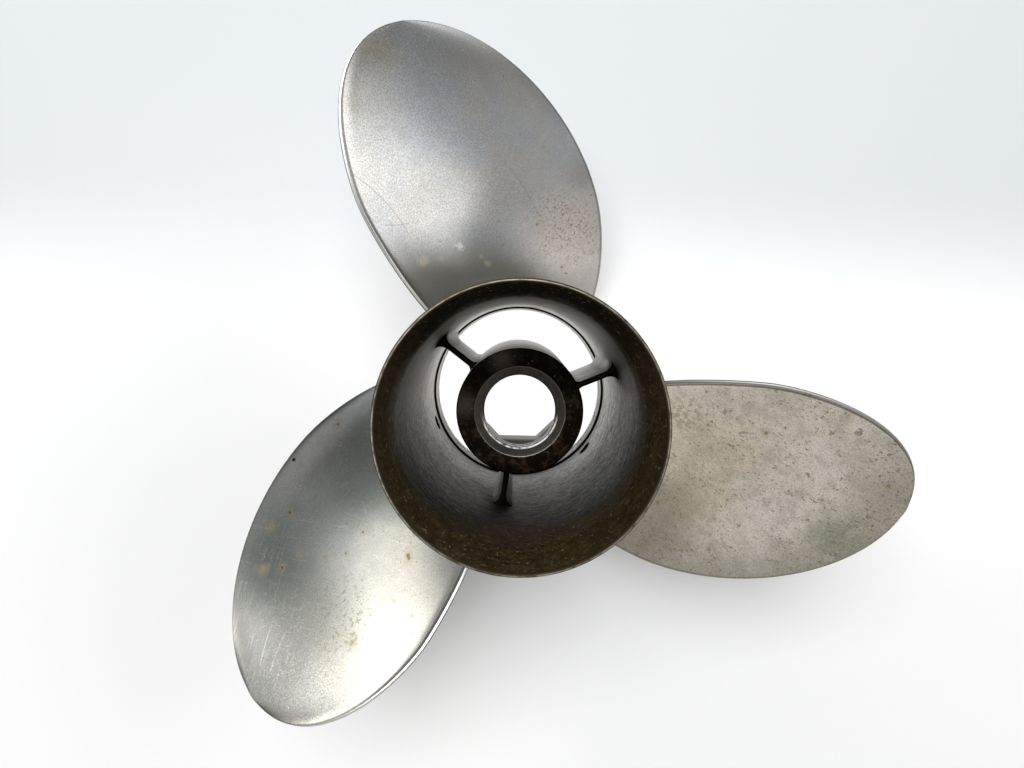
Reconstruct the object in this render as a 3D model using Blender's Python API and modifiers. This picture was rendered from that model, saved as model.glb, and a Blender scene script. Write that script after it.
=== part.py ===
"""Three-bladed through-hub boat propeller in cast stainless steel.

Metres, +Z up. The shaft axis is Z and +Z points aft, so the propeller stands on the forward
end of its barrel. The origin is on the axis in that forward face. Angles run clockwise from
+Y as seen from aft, which is also the way a right-hand propeller turns.
"""

import math

import bmesh
import bpy
from mathutils import Matrix

# Driving dimensions
DIAMETER = 0.361          # about 14 1/4 in over the blade tips
PITCH = 0.504             # advance in one turn
BLADES = 3
LENGTH = 0.194            # forward face to the diffuser's rim
GAP = 0.0003              # clearance where two pieces meet

# Outer barrel
BARREL_RADIUS = 0.0565
BARREL_BORE = 0.0523      # inner radius along the ribs
BORE_AT_FLARE = 0.0533    # the bore opens slightly on its way aft
LIP_BORE = 0.0512         # machined ring at the forward end
LIP_LENGTH = 0.0145
BARREL_TOP = LENGTH - 0.0205
FORWARD_CHAMFER = 0.0010

# Diffuser ring, the flare at the aft end
RIM_RADIUS = 0.060
RIM_WALL = 0.0017
RING_HEIGHT = LENGTH - BARREL_TOP - GAP

# Vent slots through the barrel, one ahead of each blade
VENT_WIDTH = 0.009
VENT_LENGTH = 0.011
VENT_HEIGHT = LENGTH - 0.165
VENT_ANGLE = 8.5

# Inner hub, slightly wider at its forward end
HUB_RADIUS = 0.0304
HUB_RADIUS_FORWARD = 0.0322
HUB_BOTTOM = 0.019
HUB_TOP = LENGTH - 0.065
NECK_RADIUS = 0.0173
NECK_LENGTH = 0.006
COUNTERSINK_RADIUS = 0.0217
COUNTERSINK_DEPTH = 0.0044
SOCKET_ACROSS_FLATS = 0.054
SOCKET_SIDES = 8

# Ribs, from the hub's forward end to below its aft face
RIB_THICKNESS = 0.0029
RIB_FILLET_AT_HUB = 0.0022
RIB_FILLET_AT_BARREL = 0.0045
RIB_ANGLE = 69.5          # where the first rib meets the hub
RIB_LEAN = -1.2           # degrees gained from the hub to the barrel
RIB_TOP = LENGTH - 0.091

# Blades
BLADE_ROOT = BARREL_RADIUS + GAP
BLADE_WIDEST = 0.46       # share of the span where the outline is widest
BLADE_HALF_WIDTH = 0.0592  # half the width there, measured round the axis
BLADE_ROOT_SPREAD = 0.68  # length of the inner half of the outline, in spans
BLADE_FULLNESS = 1.77     # exponent of the outline, 2 is an ellipse
SKEW_AT_ROOT = -0.6
SKEW_AT_TIP = -18.0
SKEW_BEND = 0.93
RAKE = 0.548              # lean aft for each metre of radius
RAKE_EASE = 1.67          # how the lean eases towards the tip
RAKE_RADIUS = 0.100       # radius where the two are measured from
BLADE_HEIGHT = LENGTH - 0.1033
ROOT_THICKNESS = 0.0085
TIP_THICKNESS = 0.0024
LEADING_THICKNESS = 0.0014
TRAILING_THICKNESS = 0.0024
SECTION_FULLNESS = 2.4    # exponent of the thickness across the chord
FACE_SHARE = 0.25         # share of the thickness on the aft, driving face
CUP_DEPTH = 0.0025        # curl of the trailing edge towards aft
CUP_WIDTH = 0.010
FILLET_HEIGHT = 0.010     # how far up the blade the root fillet reaches
FILLET_FLARE = 0.0045     # how much it thickens each side at the barrel

# Mesh fineness
TIP_SHARE = 0.9995        # the last section, just short of the tip
ROUND_STEPS = 96
SECTION_POINTS = 20
BLADE_STATIONS = 20


def clear_scene():
    for thing in list(bpy.data.objects):
        bpy.data.objects.remove(thing, do_unlink=True)


def new_collection(name):
    collection = bpy.data.collections.new(name)
    bpy.context.scene.collection.children.link(collection)
    return collection


def steel(name, colour, roughness, metallic=1.0):
    material = bpy.data.materials.new(name)
    material.use_nodes = True
    shader = material.node_tree.nodes["Principled BSDF"]
    shader.inputs["Base Color"].default_value = (*colour, 1.0)
    shader.inputs["Roughness"].default_value = roughness
    shader.inputs["Metallic"].default_value = metallic
    return material


def place(name, mesh, collection, material=None):
    thing = bpy.data.objects.new(name, mesh)
    collection.objects.link(thing)
    if material:
        mesh.materials.append(material)
    return thing


def around(radius, degrees, z):
    """A point at a radius and a clockwise angle from +Y."""
    angle = math.radians(degrees)
    return (radius * math.sin(angle), radius * math.cos(angle), z)


def turned(name, profile, collection, material=None):
    """A closed profile of (radius, height) swept once round the axis."""
    mesh = bpy.data.meshes.new(name)
    points = [(radius, 0.0, height) for radius, height in profile]
    edges = [(i, (i + 1) % len(points)) for i in range(len(points))]
    mesh.from_pydata(points, edges, [])
    thing = place(name, mesh, collection, material)
    screw = thing.modifiers.new("Turn", "SCREW")
    screw.axis = "Z"
    screw.angle = math.tau
    screw.steps = ROUND_STEPS
    screw.render_steps = ROUND_STEPS
    screw.use_merge_vertices = True
    screw.merge_threshold = 0.00001
    return thing


def cut(thing, cutter):
    boolean = thing.modifiers.new("Cut " + cutter.name, "BOOLEAN")
    boolean.operation = "DIFFERENCE"
    boolean.solver = "EXACT"
    boolean.object = cutter


def as_cutter(thing):
    thing.hide_render = True
    thing.display_type = "WIRE"
    return thing


def rim_bead(radius, height, width, points=5):
    """A half-round edge over a wall, from its outer to its inner side."""
    half = width / 2
    for i in range(points + 1):
        angle = math.pi * i / points
        yield (radius - half + half * math.cos(angle), height - half + half * math.sin(angle))


def make_barrel(parts, cutters):
    """The tube round the exhaust passage, with its machined lip and its vent slots."""
    metal = steel("barrel_steel", (0.33, 0.32, 0.30), 0.42)
    outside = [
        (BARREL_RADIUS, BARREL_TOP),
        (BARREL_RADIUS, FORWARD_CHAMFER),
        (BARREL_RADIUS - FORWARD_CHAMFER, 0.0),
    ]
    inside = [
        (LIP_BORE, 0.0),
        (LIP_BORE, LIP_LENGTH),
        (BARREL_BORE, LIP_LENGTH),
        (BARREL_BORE, HUB_TOP + 0.005),
        (BORE_AT_FLARE, BARREL_TOP),
    ]
    barrel = turned("outer_barrel", outside + inside, parts, metal)
    for blade in range(BLADES):
        angle = VENT_ANGLE + 360.0 / BLADES * blade
        slot = make_vent_cutter(f"vent_cutter_{blade + 1}", cutters)
        slot.rotation_euler[2] = -math.radians(angle)
        slot.location = around(BARREL_RADIUS, angle, VENT_HEIGHT)
        cut(barrel, slot)
    return barrel


def make_vent_cutter(name, cutters):
    """A round-ended slot, long along the axis, that points outwards along its own Y."""
    mesh = bpy.data.meshes.new(name)
    shape = bmesh.new()
    bmesh.ops.create_cone(
        shape, cap_ends=True, segments=24, radius1=VENT_WIDTH / 2, radius2=VENT_WIDTH / 2,
        depth=4 * (BARREL_RADIUS - BARREL_BORE), matrix=Matrix.Rotation(math.pi / 2, 4, "X"),
    )
    stretch = (VENT_LENGTH - VENT_WIDTH) / 2
    for vertex in shape.verts:
        if abs(vertex.co.z) > 1e-6:
            vertex.co.z += math.copysign(stretch, vertex.co.z)
    shape.to_mesh(mesh)
    shape.free()
    return as_cutter(place(name, mesh, cutters))


def make_ring(parts):
    """The flare that ends the barrel, with a rounded rim."""
    metal = steel("ring_steel", (0.20, 0.17, 0.14), 0.55)
    bottom = LENGTH - RING_HEIGHT
    flare = 4
    outside = []
    inside = []
    rim_inner = RIM_RADIUS - RIM_WALL
    top = LENGTH - RIM_WALL / 2
    for i in range(1, flare + 1):
        share = i / flare
        height = bottom + (top - bottom) * share
        outside.append((BARREL_RADIUS + (RIM_RADIUS - BARREL_RADIUS) * share ** 1.3, height))
        inside.append((BORE_AT_FLARE + (rim_inner - BORE_AT_FLARE) * share ** 0.9, height))
    profile = list(rim_bead(RIM_RADIUS, LENGTH, RIM_WALL))
    profile += inside[-2::-1]
    profile += [(BORE_AT_FLARE, bottom), (BARREL_RADIUS, bottom)]
    profile += outside[:-1]
    return turned("diffuser_ring", profile[::-1], parts, metal)


def make_hub(parts, cutters):
    """The inner hub: a neck and countersink at the aft end, a drive socket ahead of them."""
    metal = steel("hub_steel", (0.10, 0.075, 0.06), 0.6)
    neck_top = HUB_TOP - COUNTERSINK_DEPTH
    hub = turned("inner_hub", [
        (HUB_RADIUS, HUB_TOP),
        (HUB_RADIUS_FORWARD, HUB_BOTTOM),
        (NECK_RADIUS, HUB_BOTTOM),
        (NECK_RADIUS, neck_top),
        (COUNTERSINK_RADIUS, HUB_TOP),
    ], parts, metal)
    depth = neck_top - NECK_LENGTH - HUB_BOTTOM
    below = 0.010  # the cutter starts ahead of the hub
    corner = SOCKET_ACROSS_FLATS / 2 / math.cos(math.pi / SOCKET_SIDES)
    mesh = bpy.data.meshes.new("socket_cutter")
    shape = bmesh.new()
    bmesh.ops.create_cone(
        shape, cap_ends=True, segments=SOCKET_SIDES, radius1=corner, radius2=corner,
        depth=depth + below, matrix=Matrix.Rotation(math.pi / SOCKET_SIDES, 4, "Z"),
    )
    shape.to_mesh(mesh)
    shape.free()
    socket = as_cutter(place("socket_cutter", mesh, cutters))
    socket.location[2] = HUB_BOTTOM - below + (depth + below) / 2
    cut(hub, socket)
    return hub


def bridge(shape, first, second):
    """Quads between two rows of vertices."""
    for a, b, c, d in zip(first, first[1:], second[1:], second):
        shape.faces.new((a, b, c, d))


def hub_radius(height):
    """The hub's outer radius, which grows a little towards its forward end."""
    share = (height - HUB_BOTTOM) / (HUB_TOP - HUB_BOTTOM)
    return HUB_RADIUS_FORWARD + (HUB_RADIUS - HUB_RADIUS_FORWARD) * share


def rib_outline(height, steps=4):
    """A rib's cross-section, out along +Y: leaning sides and a fillet at each end."""
    inner = hub_radius(height) + GAP
    outer = BARREL_BORE - GAP
    right = []
    for radius, fillet, way in (
        (inner, RIB_FILLET_AT_HUB, 1),
        (outer, RIB_FILLET_AT_BARREL, -1),
    ):
        for i in range(steps + 1)[::way]:
            turn = math.pi / 2 * i / steps
            x = RIB_THICKNESS / 2 + fillet * (1 - math.sin(turn))
            y = math.sqrt(radius ** 2 - x ** 2) + way * fillet * (1 - math.cos(turn))
            right.append((x, y))
    left = [(-x, y) for x, y in reversed(right)]
    outline = []
    for x, y in right + [(0.0, outer)] + left + [(0.0, inner)]:
        radius = math.hypot(x, y)
        angle = math.degrees(math.atan2(x, y))
        angle += RIB_LEAN * (radius - inner) / (outer - inner)
        outline.append(around(radius, angle, height))
    return outline


def make_ribs(parts):
    """Three thin walls that hold the inner hub in the barrel."""
    metal = steel("rib_steel", (0.22, 0.20, 0.18), 0.5)
    for number in range(BLADES):
        name = f"rib_{number + 1}"
        mesh = bpy.data.meshes.new(name)
        shape = bmesh.new()
        ends = [
            [shape.verts.new(point) for point in rib_outline(height)]
            for height in (HUB_BOTTOM, RIB_TOP)
        ]
        for ring in ends:
            shape.faces.new(ring)
        bridge(shape, ends[0] + ends[0][:1], ends[1] + ends[1][:1])
        bmesh.ops.recalc_face_normals(shape, faces=shape.faces)
        shape.to_mesh(mesh)
        shape.free()
        rib = place(name, mesh, parts, metal)
        rib.rotation_euler[2] = -math.radians(RIB_ANGLE + 360.0 / BLADES * number)


def blade_station(share):
    """Radius, middle angle and half width of the outline at a share of the span."""
    radius = BLADE_ROOT + (DIAMETER / 2 - BLADE_ROOT) * share
    reach = (1 - BLADE_WIDEST) if share > BLADE_WIDEST else BLADE_ROOT_SPREAD
    away = abs(share - BLADE_WIDEST) / reach
    half = BLADE_HALF_WIDTH * math.sqrt(max(0.0, 1 - away ** BLADE_FULLNESS))
    skew = SKEW_AT_ROOT + (SKEW_AT_TIP - SKEW_AT_ROOT) * share ** SKEW_BEND
    return radius, math.radians(skew), half


def blade_thickness(radius):
    """Greatest thickness at a radius, and the root fillet's growth of each side."""
    share = (radius - BLADE_ROOT) / (DIAMETER / 2 - BLADE_ROOT)
    thickness = ROOT_THICKNESS + (TIP_THICKNESS - ROOT_THICKNESS) * share ** 0.75
    rise = min(1.0, (radius - BLADE_ROOT) / FILLET_HEIGHT)
    flare = FILLET_FLARE * (1 - math.sqrt(1 - (1 - rise) ** 2)) if rise > 0 else FILLET_FLARE
    return thickness, flare


def blade_point(share, along, side):
    """A point of the blade's skin.

    share runs from root to tip, along from the trailing edge (0) to the leading edge (1),
    and side is +1 on the aft, driving face, -1 on the forward face and 0 between them.
    """
    radius, middle, half = blade_station(share)
    thickness, flare = blade_thickness(radius)
    helix = math.atan2(PITCH, math.tau * radius)
    chord = 2 * half / math.cos(helix)
    across = (along - 0.5) * chord
    fullness = 1 - abs(2 * along - 1) ** SECTION_FULLNESS
    portion = FACE_SHARE if side > 0 else 1 - FACE_SHARE
    edge = LEADING_THICKNESS + (TRAILING_THICKNESS - LEADING_THICKNESS) * (1 - along) ** 3
    depth = edge / 2 + thickness * portion * fullness + flare
    curl = max(0.0, 1 - along * chord / CUP_WIDTH) ** 2 * min(1.0, 4 * share * (1 - share))
    offset = side * depth + CUP_DEPTH * curl
    if side == 0:
        nose = edge / 3 if share > 0 else 0.0
        across += nose * ((along == 1) - (along == 0))
    turn = middle + (across * math.cos(helix) + offset * math.sin(helix)) / radius
    out = radius - RAKE_RADIUS
    height = BLADE_HEIGHT + RAKE * out - RAKE_EASE * out ** 2 - PITCH * middle / math.tau
    height += -across * math.sin(helix) + offset * math.cos(helix)
    return (radius * math.sin(turn), radius * math.cos(turn), height)


def blade_rows(shape, share, steps):
    """Vertices of one section: the aft face, the line between, and the forward face."""
    stops = [(1 - math.cos(math.pi * i / steps)) / 2 for i in range(steps + 1)]
    return {
        side: [shape.verts.new(blade_point(share, along, side)) for along in stops]
        for side in (1, 0, -1)
    }


def make_blades(parts):
    """Blades lofted from sections that lie on cylinders round the axis."""
    metal = steel("blade_steel", (0.42, 0.42, 0.41), 0.32)
    shape = bmesh.new()
    rings = []
    last = BLADE_STATIONS - 1
    for station in range(BLADE_STATIONS):
        share = min(math.sin(math.pi / 2 * station / last) ** 1.15, TIP_SHARE)
        rows = blade_rows(shape, share, SECTION_POINTS)
        if station in (0, last):
            bridge(shape, rows[1], rows[0])
            bridge(shape, rows[0], rows[-1])
        ring = rows[1] + rows[0][-1:] + rows[-1][::-1] + rows[0][:1]
        rings.append(ring + ring[:1])
        if station not in (0, last):
            for vertex in rows[0][1:-1]:
                shape.verts.remove(vertex)
    for low, high in zip(rings, rings[1:]):
        bridge(shape, low, high)
    bmesh.ops.recalc_face_normals(shape, faces=shape.faces)
    mesh = bpy.data.meshes.new("blade")
    shape.to_mesh(mesh)
    shape.free()
    mesh.materials.append(metal)
    for number in range(BLADES):
        blade = place(f"blade_{number + 1}", mesh, parts)
        blade.rotation_euler[2] = -math.radians(360.0 / BLADES * number)


def finish(parts):
    for thing in parts.objects:
        thing.data.shade_smooth()
        thing.data.set_sharp_from_angle(angle=math.radians(35))


def main():
    clear_scene()
    parts = new_collection("ship_propeller")
    cutters = new_collection("cutters")
    make_barrel(parts, cutters)
    make_ring(parts)
    make_hub(parts, cutters)
    make_ribs(parts)
    make_blades(parts)
    finish(parts)


main()
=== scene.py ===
# %% [markdown]
# A three-bladed boat propeller, cast in stainless steel and well used. Exhaust gas leaves the
# engine through the wide barrel round its hub, so the metal inside is stained brown and black,
# while the blades keep the satin shine of polished steel. This notebook loads the propeller's
# plain solids and dresses them: every piece is modelled again, finer, and given its finish.

import math

import bpy
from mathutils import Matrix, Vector


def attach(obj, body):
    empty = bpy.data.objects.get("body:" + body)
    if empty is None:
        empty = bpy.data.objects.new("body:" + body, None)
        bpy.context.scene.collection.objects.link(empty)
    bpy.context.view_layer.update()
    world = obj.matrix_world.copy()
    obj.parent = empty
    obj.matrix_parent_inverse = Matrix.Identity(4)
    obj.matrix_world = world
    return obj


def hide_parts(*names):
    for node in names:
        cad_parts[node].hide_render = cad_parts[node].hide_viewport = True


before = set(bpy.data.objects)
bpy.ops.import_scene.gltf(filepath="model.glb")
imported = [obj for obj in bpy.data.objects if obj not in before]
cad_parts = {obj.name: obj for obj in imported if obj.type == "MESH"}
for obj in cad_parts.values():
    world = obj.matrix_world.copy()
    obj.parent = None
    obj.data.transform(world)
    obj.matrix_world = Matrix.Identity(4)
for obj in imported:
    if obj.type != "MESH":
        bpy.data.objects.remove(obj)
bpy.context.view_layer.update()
print("solids:", sorted(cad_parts))

# %% [markdown]
# The measures below are the ones that the solids were made with, in metres. The shaft axis is
# Z, it points aft, and the propeller stands on the forward end of its barrel. Angles run
# clockwise from +Y as seen from aft.

# %% The propeller's measures
BLADES = 3
TIP_RADIUS = 0.1805
PITCH = 0.504
LENGTH = 0.194

BARREL_RADIUS = 0.0565
BARREL_BORE = 0.0523
BORE_AT_FLARE = 0.0533
FLARE_START = LENGTH - 0.0205
RIM_RADIUS = 0.060
RIM_WALL = 0.0017
LIP_BORE = 0.0512
LIP_LENGTH = 0.0145

HUB_RADIUS = 0.0304
HUB_RADIUS_FORWARD = 0.0322
HUB_BOTTOM = 0.019
HUB_TOP = LENGTH - 0.065
NECK_RADIUS = 0.0173
COUNTERSINK_RADIUS = 0.0217
COUNTERSINK_BOTTOM = HUB_TOP - 0.0044
SHOULDER = COUNTERSINK_BOTTOM - 0.006
SOCKET_ACROSS_FLATS = 0.054

RIB_THICKNESS = 0.0029
RIB_ANGLE = 69.5
RIB_LEAN = -1.2
RIB_TOP = LENGTH - 0.091

SEAT = 0.0005  # how far one piece reaches into the next, so that no seam shows

# %% [markdown]
# Blender's edit-mode tools act on whatever is selected, and a fresh import is selected all
# over. So each piece starts with a clean slate, and a few small helpers select by place.

# %% Helpers for modelling
def start_fresh():
    """Leaves edit mode and deselects everything."""
    if bpy.context.object and bpy.context.object.mode != "OBJECT":
        bpy.ops.object.mode_set(mode="OBJECT")
    bpy.ops.object.select_all(action="DESELECT")


def take_up(piece):
    """Makes one piece the active and only selected object."""
    start_fresh()
    piece.select_set(True)
    bpy.context.view_layer.objects.active = piece


def settle(piece, angle=30.0):
    """Puts the place of a piece into its mesh and shades it smooth up to an angle."""
    take_up(piece)
    bpy.ops.object.transform_apply(location=True, rotation=True, scale=True)
    bpy.ops.object.shade_smooth_by_angle(angle=math.radians(angle))
    print(f"{piece.name}: {len(piece.data.polygons)} faces")
    return piece


def around(radius, degrees, height):
    """A point at a radius and a clockwise angle from +Y."""
    angle = math.radians(degrees)
    return Vector((radius * math.sin(angle), radius * math.cos(angle), height))


# %% [markdown]
# The barrel and its flared ring are one turned shell on the real propeller. A lathe would cut
# it, and the model does the same by hand: a circle is pulled up from ring to ring, and each
# new ring is scaled to the radius of the profile. The last ring meets the first, and merging
# the two closes the wall.

# %% Turn a wall
def turn(name, profile, sides):
    """A closed outline of (radius, height), pulled round the axis ring by ring."""
    start_fresh()
    radius, height = profile[0]
    bpy.ops.mesh.primitive_circle_add(vertices=sides, radius=radius, location=(0, 0, height))
    piece = bpy.context.object
    piece.name = name
    bpy.ops.object.mode_set(mode="EDIT")
    bpy.ops.mesh.select_all(action="SELECT")
    for (radius, height), (wider, higher) in zip(profile, profile[1:] + profile[:1]):
        bpy.ops.mesh.extrude_region_move(
            TRANSFORM_OT_translate={"value": (0, 0, higher - height)}
        )
        ratio = wider / radius
        bpy.ops.transform.resize(value=(ratio, ratio, 1), center_override=(0, 0, higher))
    bpy.ops.mesh.select_all(action="SELECT")
    bpy.ops.mesh.remove_doubles(threshold=0.00002)
    bpy.ops.mesh.normals_make_consistent(inside=False)
    bpy.ops.object.mode_set(mode="OBJECT")
    return piece


def rounded(corner, before, after, size, steps=4):
    """Points of a small fillet that takes the place of a corner of a profile."""
    corner, before, after = Vector(corner), Vector(before), Vector(after)
    start = corner + (before - corner).normalized() * size
    end = corner + (after - corner).normalized() * size
    for i in range(steps + 1):
        share = i / steps
        yield tuple(start.lerp(corner, share).lerp(corner.lerp(end, share), share))


def soften(corners):
    """A profile with each (radius, height, size) corner rounded by its own size."""
    profile = []
    for i, (radius, height, size) in enumerate(corners):
        before = corners[i - 1][:2]
        after = corners[(i + 1) % len(corners)][:2]
        if size:
            profile += rounded((radius, height), before, after, size)
        else:
            profile.append((radius, height))
    return profile


# %% [markdown]
# The shell's outline starts at the forward end, goes up the outside, over the rounded rim and
# down the inside. Close to the forward end a thin machined lip narrows the bore. Its step faces
# away from the light, and the finish paints a black line of painted shade into it later.

# %% Turn the barrel with its flared ring
SHELL_SIDES = 160
FLARE_STEPS = 10
OUTER_BEND = 1.3
INNER_BEND = 0.9


def flare(start, end, bend, step):
    """The radius at one step of the flare, which opens late where bend is over 1."""
    share = step / FLARE_STEPS
    return start + (end - start) * share ** bend


rim_inside = RIM_RADIUS - RIM_WALL
rim_height = LENGTH - RIM_WALL / 2
shell_corners = [
    (LIP_BORE, 0.0, 0.0006),
    (BARREL_RADIUS, 0.0, 0.0012),
]
for step in range(FLARE_STEPS + 1):
    height = FLARE_START + (rim_height - FLARE_START) * step / FLARE_STEPS
    shell_corners.append((flare(BARREL_RADIUS, RIM_RADIUS, OUTER_BEND, step), height, 0))
for turn_share in (0.2, 0.4, 0.6, 0.8):
    angle = math.pi * turn_share
    shell_corners.append((
        RIM_RADIUS - RIM_WALL / 2 + RIM_WALL / 2 * math.cos(angle),
        rim_height + RIM_WALL / 2 * math.sin(angle),
        0,
    ))
for step in range(FLARE_STEPS, -1, -1):
    height = FLARE_START + (rim_height - FLARE_START) * step / FLARE_STEPS
    shell_corners.append((flare(BORE_AT_FLARE, rim_inside, INNER_BEND, step), height, 0))
shell_corners += [
    (BARREL_BORE, HUB_TOP + 0.005, 0.004),
    (BARREL_BORE, LIP_LENGTH + 0.0006, 0),
    (LIP_BORE, LIP_LENGTH, 0.0003),
]
shell = turn("barrel_shell", soften(shell_corners), sides=SHELL_SIDES)

# %% [markdown]
# Three small vents go through the barrel's wall near its forward end, one ahead of each blade.
# They let a little exhaust out when the boat starts off. A rounded cutter is made for each
# vent, and a Boolean takes it out of the shell.

# %% Cut the vents
VENT_WIDTH = 0.009
VENT_LENGTH = 0.011
VENT_HEIGHT = LENGTH - 0.165
VENT_ANGLE = 8.5
VENT_CUT = 0.02  # the cutter's own length, through the wall


def cut(piece, cutter):
    """Takes the cutter out of a piece for good, and deletes it."""
    take_up(piece)
    bpy.ops.object.modifier_add(type="BOOLEAN")
    boolean = piece.modifiers[-1]
    boolean.operation = "DIFFERENCE"
    boolean.solver = "EXACT"
    boolean.object = cutter
    bpy.ops.object.modifier_apply(modifier=boolean.name)
    bpy.data.objects.remove(cutter, do_unlink=True)


for number in range(BLADES):
    start_fresh()
    angle = VENT_ANGLE + 360 / BLADES * number
    bpy.ops.mesh.primitive_cylinder_add(
        vertices=32, radius=VENT_WIDTH / 2, depth=VENT_CUT,
        location=around(BARREL_RADIUS, angle, VENT_HEIGHT),
        rotation=(math.pi / 2, 0, -math.radians(angle)),
    )
    vent = bpy.context.object
    bpy.ops.transform.resize(value=(1, 1, VENT_LENGTH / VENT_WIDTH), orient_type="GLOBAL")
    cut(shell, vent)
settle(shell)

# %% [markdown]
# The inner hub carries the propeller on its shaft. Its aft face is flat for the nut's washer
# and has a countersink, and from forward an eight-sided socket takes the drive sleeve. It is
# turned like the shell, and the socket is an eight-sided cylinder taken out of it.

# %% Turn the hub and cut its socket
HUB_SIDES = 128
SOCKET_SIDES = 8

hub = turn("drive_hub", soften([
    (HUB_RADIUS_FORWARD, HUB_BOTTOM, 0.0008),
    (HUB_RADIUS, HUB_TOP, 0.0007),
    (COUNTERSINK_RADIUS, HUB_TOP, 0.0005),
    (NECK_RADIUS, COUNTERSINK_BOTTOM, 0.0005),
    (NECK_RADIUS, HUB_BOTTOM, 0.0),
]), sides=HUB_SIDES)

start_fresh()
socket_depth = SHOULDER - HUB_BOTTOM
bpy.ops.mesh.primitive_cylinder_add(
    vertices=SOCKET_SIDES,
    radius=SOCKET_ACROSS_FLATS / 2 / math.cos(math.pi / SOCKET_SIDES),
    depth=2 * socket_depth, location=(0, 0, SHOULDER - socket_depth),
    rotation=(0, 0, math.pi / SOCKET_SIDES),
)
cut(hub, bpy.context.object)
settle(hub)

# %% [markdown]
# Ribs and blades are lofted: each is a stack of outlines that change from level to level. A
# flat grid is added with one column for each point of the outline and one row for each level,
# and is then wrapped round, so that its two long sides meet and can be merged. The two open
# ends are closed with a face each, or need none where the last outline has shrunk to a line.

# %% Wrap a grid into a loft
def loft(name, rings, capped=True):
    """A closed piece through rings of the same number of points."""
    count = len(rings[0])
    start_fresh()
    bpy.ops.mesh.primitive_grid_add(x_subdivisions=count, y_subdivisions=len(rings) - 1)
    piece = bpy.context.object
    piece.name = name
    for row, ring in enumerate(rings):
        for column in range(count + 1):
            vertex = piece.data.vertices[row * (count + 1) + column]
            vertex.co = ring[column % count]
    bpy.ops.object.mode_set(mode="EDIT")
    bpy.ops.mesh.select_all(action="SELECT")
    bpy.ops.mesh.remove_doubles(threshold=0.000001)
    if capped:
        bpy.ops.mesh.select_all(action="DESELECT")
        bpy.ops.mesh.select_non_manifold()
        bpy.ops.mesh.edge_face_add()
        bpy.ops.mesh.select_all(action="SELECT")
    bpy.ops.mesh.normals_make_consistent(inside=False)
    bpy.ops.object.mode_set(mode="OBJECT")
    return piece


# %% [markdown]
# Three thin ribs hold the hub in the barrel. Each grows out of both in a fillet, wide at the
# barrel and narrow at the hub, and its aft edge is rounded, because the casting is.

# %% Loft the ribs
RIB_ROUNDING = 0.0014
ROUNDING_STEPS = 8
HUB_FILLET = 0.0034
BARREL_FILLET = 0.0062
FILLET_STEPS = 7


def hub_radius(height):
    """The hub grows slightly wider towards its forward end."""
    share = (height - HUB_BOTTOM) / (HUB_TOP - HUB_BOTTOM)
    return HUB_RADIUS_FORWARD + (HUB_RADIUS - HUB_RADIUS_FORWARD) * share


def rib_outline(height, half, turned):
    """The outline of a rib at one level, with the given half thickness."""
    inner = hub_radius(height) - SEAT
    outer = BARREL_BORE + SEAT
    right = []
    for radius, fillet, way in ((inner, HUB_FILLET, 1), (outer, BARREL_FILLET, -1)):
        for i in range(FILLET_STEPS + 1)[::way]:
            quarter = math.pi / 2 * i / FILLET_STEPS
            x = half + fillet * (1 - math.sin(quarter))
            y = math.sqrt(radius ** 2 - x ** 2) + way * fillet * (1 - math.cos(quarter))
            right.append((x, y))
    outline = []
    for x, y in right + [(-x, y) for x, y in reversed(right)]:
        radius = math.hypot(x, y)
        angle = math.degrees(math.atan2(x, y)) + turned
        angle += RIB_LEAN * (radius - inner) / (outer - inner)
        outline.append(around(radius, angle, height))
    return outline


thinning = [
    (RIB_ROUNDING * (1 - math.cos(turn_share)), RIB_ROUNDING * (1 - math.sin(turn_share)))
    for turn_share in (math.pi / 2 * i / ROUNDING_STEPS for i in range(ROUNDING_STEPS + 1))
]
rib_levels = [(HUB_BOTTOM + rise, RIB_THICKNESS / 2 - less) for rise, less in thinning]
rib_levels += [(RIB_TOP - rise, RIB_THICKNESS / 2 - less) for rise, less in reversed(thinning)]

ribs = []
for number in range(BLADES):
    turned = RIB_ANGLE + 360 / BLADES * number
    rings = [rib_outline(height, half, turned) for height, half in rib_levels]
    ribs.append(settle(loft(f"cast_rib_{number + 1}", rings), angle=50))

# %% [markdown]
# A blade is a twisted wing. At every radius its section lies on a cylinder round the shaft
# and is tilted by the pitch, so that all parts of the blade screw through the water at the
# same rate. Along the trailing edge the face curls up into a small cup and is ground bright.
# The outline, the lean aft and the thickness follow short formulas, because a surface this
# even shows every bump of a hand-pulled mesh. Each point also remembers where it lies, from
# trailing edge to leading edge and from root to tip, and the finish uses that.

# %% Shape of a blade
BLADE_ROOT = BARREL_RADIUS - SEAT
BLADE_WIDEST = 0.46
BLADE_HALF_WIDTH = 0.0592
BLADE_ROOT_SPREAD = 0.68
BLADE_FULLNESS = 1.77
SKEW_AT_ROOT = -0.6
SKEW_AT_TIP = -18.0
SKEW_BEND = 0.93
RAKE = 0.548
RAKE_EASE = 1.67
RAKE_RADIUS = 0.100
BLADE_HEIGHT = LENGTH - 0.1033
ROOT_THICKNESS = 0.0085
TIP_THICKNESS = 0.0024
THINNING_BEND = 0.75
LEADING_THICKNESS = 0.0014
TRAILING_THICKNESS = 0.0018
SECTION_FULLNESS = 2.4
FACE_SHARE = 0.25
CUP_DEPTH = 0.0008
CUP_WIDTH = 0.005
FILLET_HEIGHT = 0.010
FILLET_FLARE = 0.0045
LAND_WIDTH = 0.0011  # the ground strip along the trailing edge


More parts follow.
